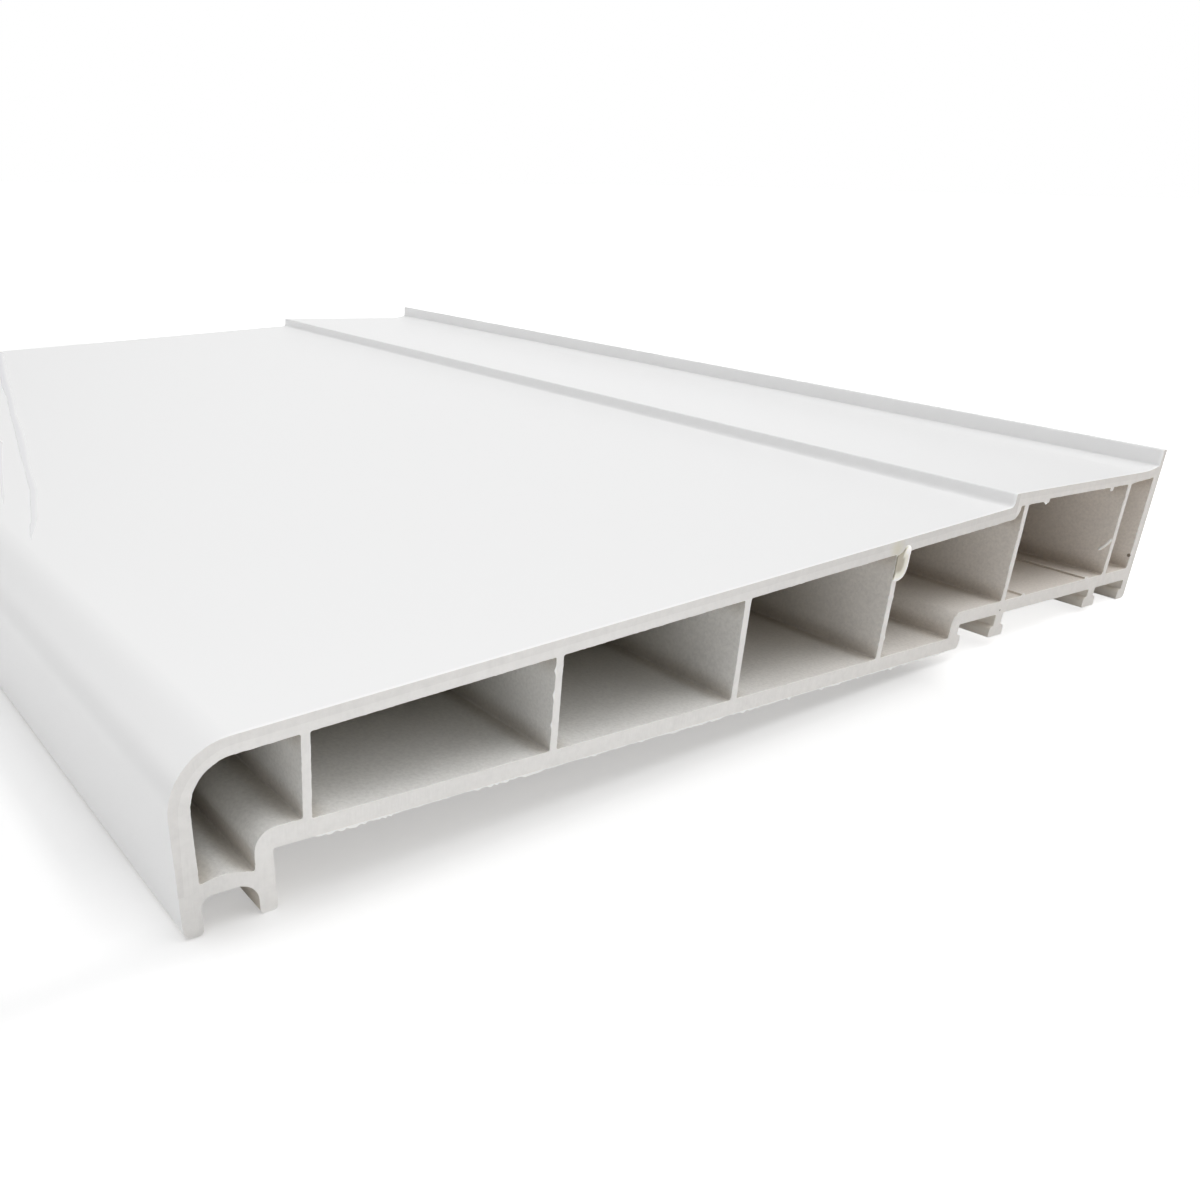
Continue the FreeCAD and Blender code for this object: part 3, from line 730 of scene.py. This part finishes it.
for value, (share, start, full) in (
    (floor_place.outputs["Y"], REAR_GLOW), (past_end, END_SHADE), (past_end, OPEN_GLOW),
):
    stretch = add(tree, "ShaderNodeMapRange", SMOOTH, Value=value, i1=start, i2=full, i4=share).outputs[0]
    glow = add(tree, "ShaderNodeMath", {"operation": "ADD"}, i0=glow, i1=stretch).outputs[0]
near_nose = add(
    tree, "ShaderNodeMapRange", SMOOTH,
    Value=from_nose, i1=NOSE_SHADE_FADE[0], i2=NOSE_SHADE_FADE[1], i3=NOSE_SHADE, i4=0.0,
).outputs[0]
beside_end = add(
    tree, "ShaderNodeMapRange", SMOOTH,
    Value=past_end, i1=NOSE_SHADE_END[0], i2=NOSE_SHADE_END[1], i3=1.0, i4=0.0,
).outputs[0]
near_nose = add(tree, "ShaderNodeMath", {"operation": "MULTIPLY"}, i0=near_nose, i1=beside_end).outputs[0]
glow = add(tree, "ShaderNodeMath", {"operation": "SUBTRACT"}, i0=glow, i1=near_nose).outputs[0]
glow = add(tree, "ShaderNodeEmission", Strength=glow)
paper_lit = add(tree, "ShaderNodeAddShader", i0=paper_seen.outputs[0], i1=glow.outputs[0])
surface = add(
    tree, "ShaderNodeMixShader",
    i0=rays.outputs["Is Camera Ray"], i1=paper.outputs[0], i2=paper_lit.outputs[0],
)
add(tree, "ShaderNodeOutputMaterial", Surface=surface.outputs[0])
floor_mesh.materials.append(white_sheet)

# Light: a white studio. A broad soft box hangs overhead, weaker ones stand round the board, and the walls
# are bright near the floor. The camera itself sees a plain white backdrop.
WALL_STRENGTH = 0.43
WALL_TOP = 0.4
WALL_FADE_FROM = 0.1
# Each soft box: its compass bearing and height in degrees, the half angles at which its edge starts and
# stops fading, and its strength
SOFT_BOXES = [
    (0, 90, 15, 40, 2.25),
    (-36, 20, 10, 40, 0.1),
    (54, 58, 10, 35, 1.0),
    (54, 20, 10, 40, 0.85),
    (144, 58, 10, 35, 0.25),
    (144, 20, 10, 40, 0.5),
    (-126, 58, 10, 35, 0.35),
    (-126, 20, 10, 40, 0.88),
]

world = bpy.data.worlds.new("white_studio")
world.use_nodes = True
world.node_tree.nodes.clear()
tree = world.node_tree
direction = add(tree, "ShaderNodeTexCoord").outputs["Generated"]
rise = add(tree, "ShaderNodeSeparateXYZ", i0=direction).outputs["Z"]
brightness = add(
    tree, "ShaderNodeMapRange", SMOOTH,
    Value=rise, i1=WALL_FADE_FROM, i2=WALL_TOP, i3=WALL_STRENGTH, i4=0.0,
).outputs[0]
for bearing, height_angle, full_angle, faded_angle, strength in SOFT_BOXES:
    bearing, height_angle = math.radians(bearing), math.radians(height_angle)
    towards = (
        math.cos(bearing) * math.cos(height_angle), math.sin(bearing) * math.cos(height_angle),
        math.sin(height_angle),
    )
    nearness = add(tree, "ShaderNodeVectorMath", {"operation": "DOT_PRODUCT"}, i0=direction, i1=towards)
    faded, full = math.cos(math.radians(faded_angle)), math.cos(math.radians(full_angle))
    box_light = add(
        tree, "ShaderNodeMapRange", SMOOTH,
        Value=nearness.outputs["Value"], i1=faded, i2=full, i3=0.0, i4=strength,
    )
    brightness = add(
        tree, "ShaderNodeMath", {"operation": "ADD"}, i0=brightness, i1=box_light.outputs[0],
    ).outputs[0]
rays = add(tree, "ShaderNodeLightPath")
studio = add(tree, "ShaderNodeBackground", Color=[1, 1, 1, 1], Strength=brightness)
backdrop = add(tree, "ShaderNodeBackground", Color=[1, 1, 1, 1], Strength=1.0)
surface = add(
    tree, "ShaderNodeMixShader",
    i0=rays.outputs["Is Camera Ray"], i1=studio.outputs[0], i2=backdrop.outputs[0],
)
add(tree, "ShaderNodeOutputWorld", Surface=surface.outputs[0])
bpy.context.scene.world = world

# Camera: close in front of the sawn end and low, turned towards the nose. Its place is in metres and its
# lens in pixels of the picture. The pixel on the lens's axis isn't the middle, as the photo is cropped.
CAMERA_PLACE = (0.2696, -0.1468, 0.08608)
CAMERA_RIGHT = (0.5806, 0.81409, 0.01295)
CAMERA_UP = (-0.36905, 0.24897, 0.89544)
FOCAL_PIXELS = 1108.2
PICTURE_PIXELS = 1200
CENTRE_PIXEL = (495.0, 720.6)

camera_data = bpy.data.cameras.new("camera")
camera = bpy.data.objects.new("camera", camera_data)
camera_data.sensor_width = 36
camera_data.lens = FOCAL_PIXELS / PICTURE_PIXELS * camera_data.sensor_width
camera_data.shift_x = 0.5 - CENTRE_PIXEL[0] / PICTURE_PIXELS
camera_data.shift_y = CENTRE_PIXEL[1] / PICTURE_PIXELS - 0.5
camera_data.clip_start = 0.01
right, up = Vector(CAMERA_RIGHT), Vector(CAMERA_UP)
turned_frame = Matrix((right, up, right.cross(up))).transposed().to_4x4()
camera.matrix_world = Matrix.Translation(CAMERA_PLACE) @ turned_frame
bpy.context.scene.collection.objects.link(camera)
bpy.context.scene.camera = camera
bpy.context.scene.view_settings.view_transform = "Standard"
